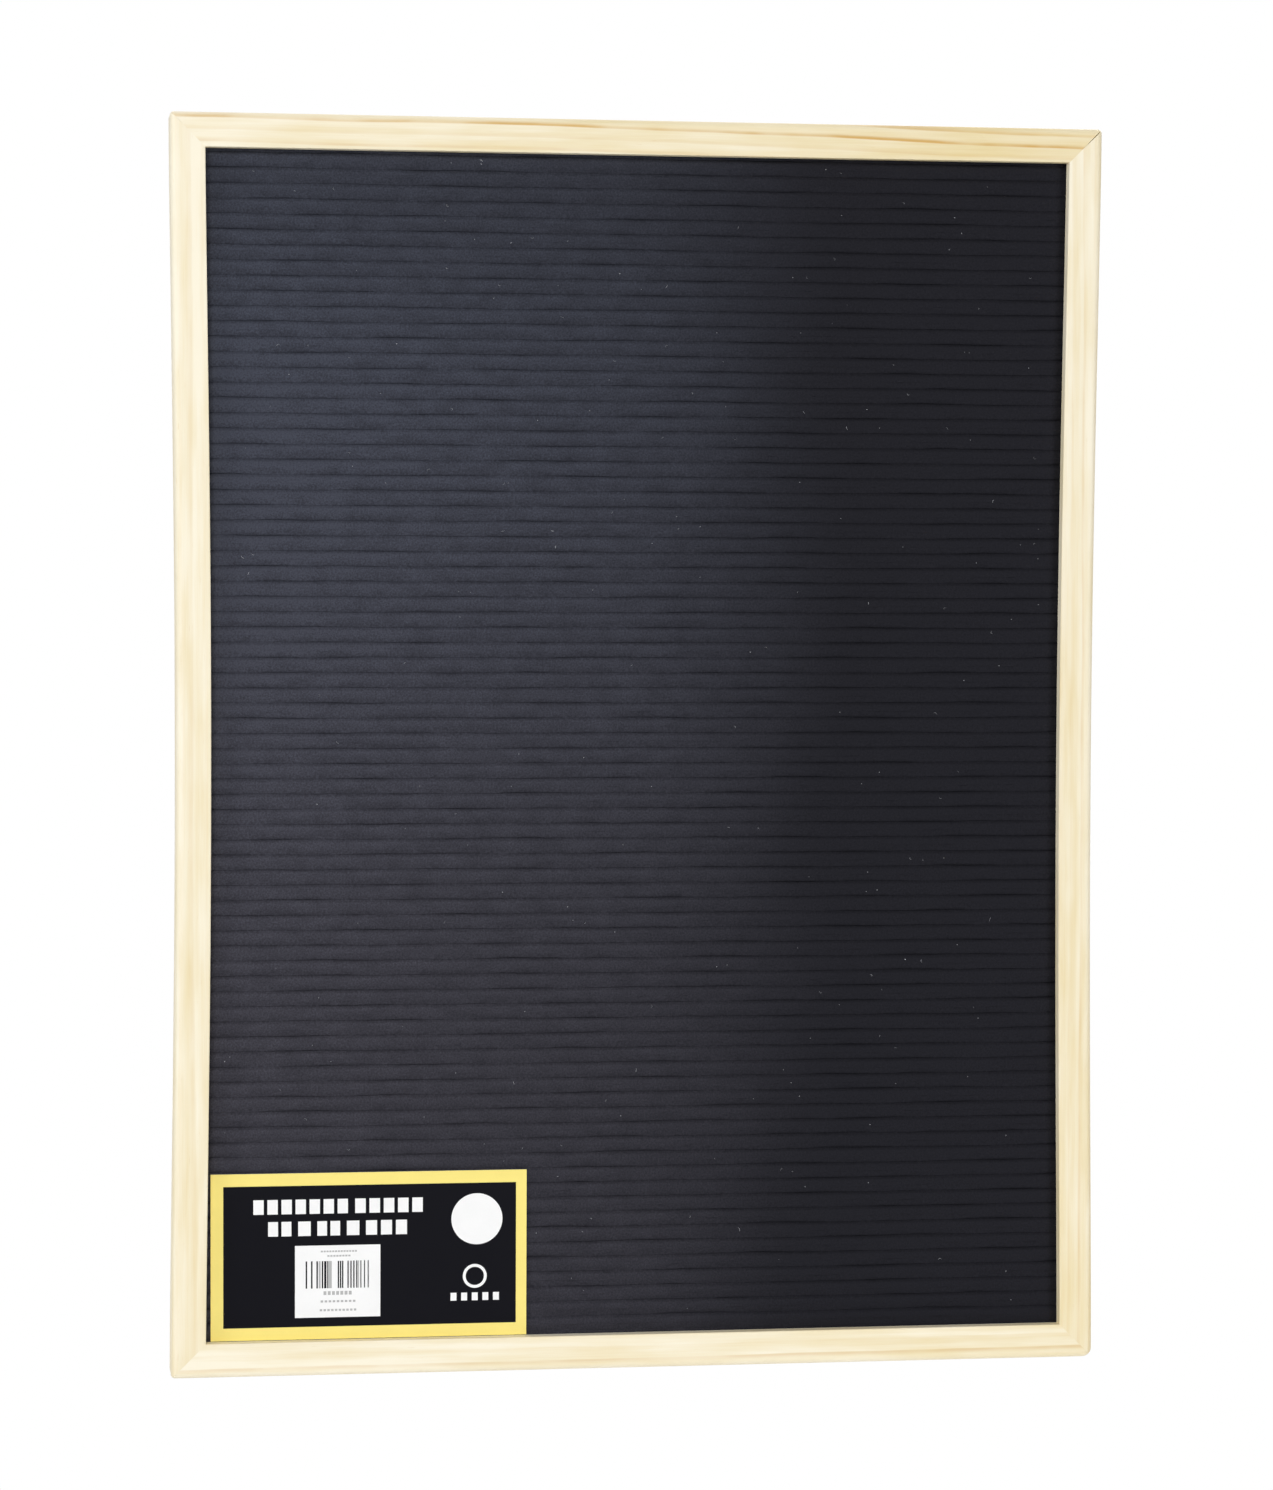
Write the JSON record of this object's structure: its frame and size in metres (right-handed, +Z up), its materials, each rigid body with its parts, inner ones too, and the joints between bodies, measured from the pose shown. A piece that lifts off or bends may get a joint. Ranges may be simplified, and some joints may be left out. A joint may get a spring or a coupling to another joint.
{
  "type": "message board",
  "caption": "Grooved black felt message board in a slim mitred pine frame, to hang on a wall, with a plain card in the lower left corner.",
  "frame": {"origin": "in the wall plane that the back of the frame touches, midway between the two hangers, at the height where the wall nails bear in their middle notches", "axes": "+Z up, +X to the right as the felt is seen, -Y out of the felt into the room"},
  "size_m": [0.45, 0.02, 0.6],
  "materials": {
    "pine": "pale planed pine with straight grain, unvarnished",
    "black_felt": "short-napped black felt pressed into grooves",
    "core_plastic": "dark moulded sheet, unpainted",
    "hardboard": "brown pressed fibre board",
    "zinc_steel": "thin zinc-plated steel",
    "yellow_card": "printed satin card, yellow",
    "white_paper": "plain white paper sticker"
  },
  "bodies": {
    "root": {"rail_top": "pine", "rail_bottom": "pine", "rail_left": "pine", "rail_right": "pine", "felt": "black_felt", "core_panel": "core_plastic", "backing_board": "hardboard", "v_nail_top_left_outer": "zinc_steel", "v_nail_top_left_inner": "zinc_steel", "v_nail_top_right_outer": "zinc_steel", "v_nail_top_right_inner": "zinc_steel", "v_nail_bottom_left_outer": "zinc_steel", "v_nail_bottom_left_inner": "zinc_steel", "v_nail_bottom_right_outer": "zinc_steel", "v_nail_bottom_right_inner": "zinc_steel", "point_left_1": "zinc_steel", "point_left_2": "zinc_steel", "point_left_3": "zinc_steel", "point_left_4": "zinc_steel", "point_right_1": "zinc_steel", "point_right_2": "zinc_steel", "point_right_3": "zinc_steel", "point_right_4": "zinc_steel", "point_top_1": "zinc_steel", "point_top_2": "zinc_steel", "point_top_3": "zinc_steel", "point_bottom_1": "zinc_steel", "point_bottom_2": "zinc_steel", "point_bottom_3": "zinc_steel", "hanger_left": "zinc_steel", "hanger_right": "zinc_steel", "rivet_1": "zinc_steel", "rivet_2": "zinc_steel", "rivet_3": "zinc_steel", "rivet_4": "zinc_steel", "card": "yellow_card", "round_sticker": "white_paper", "label_sticker": "white_paper"}
  },
  "joints": []
}
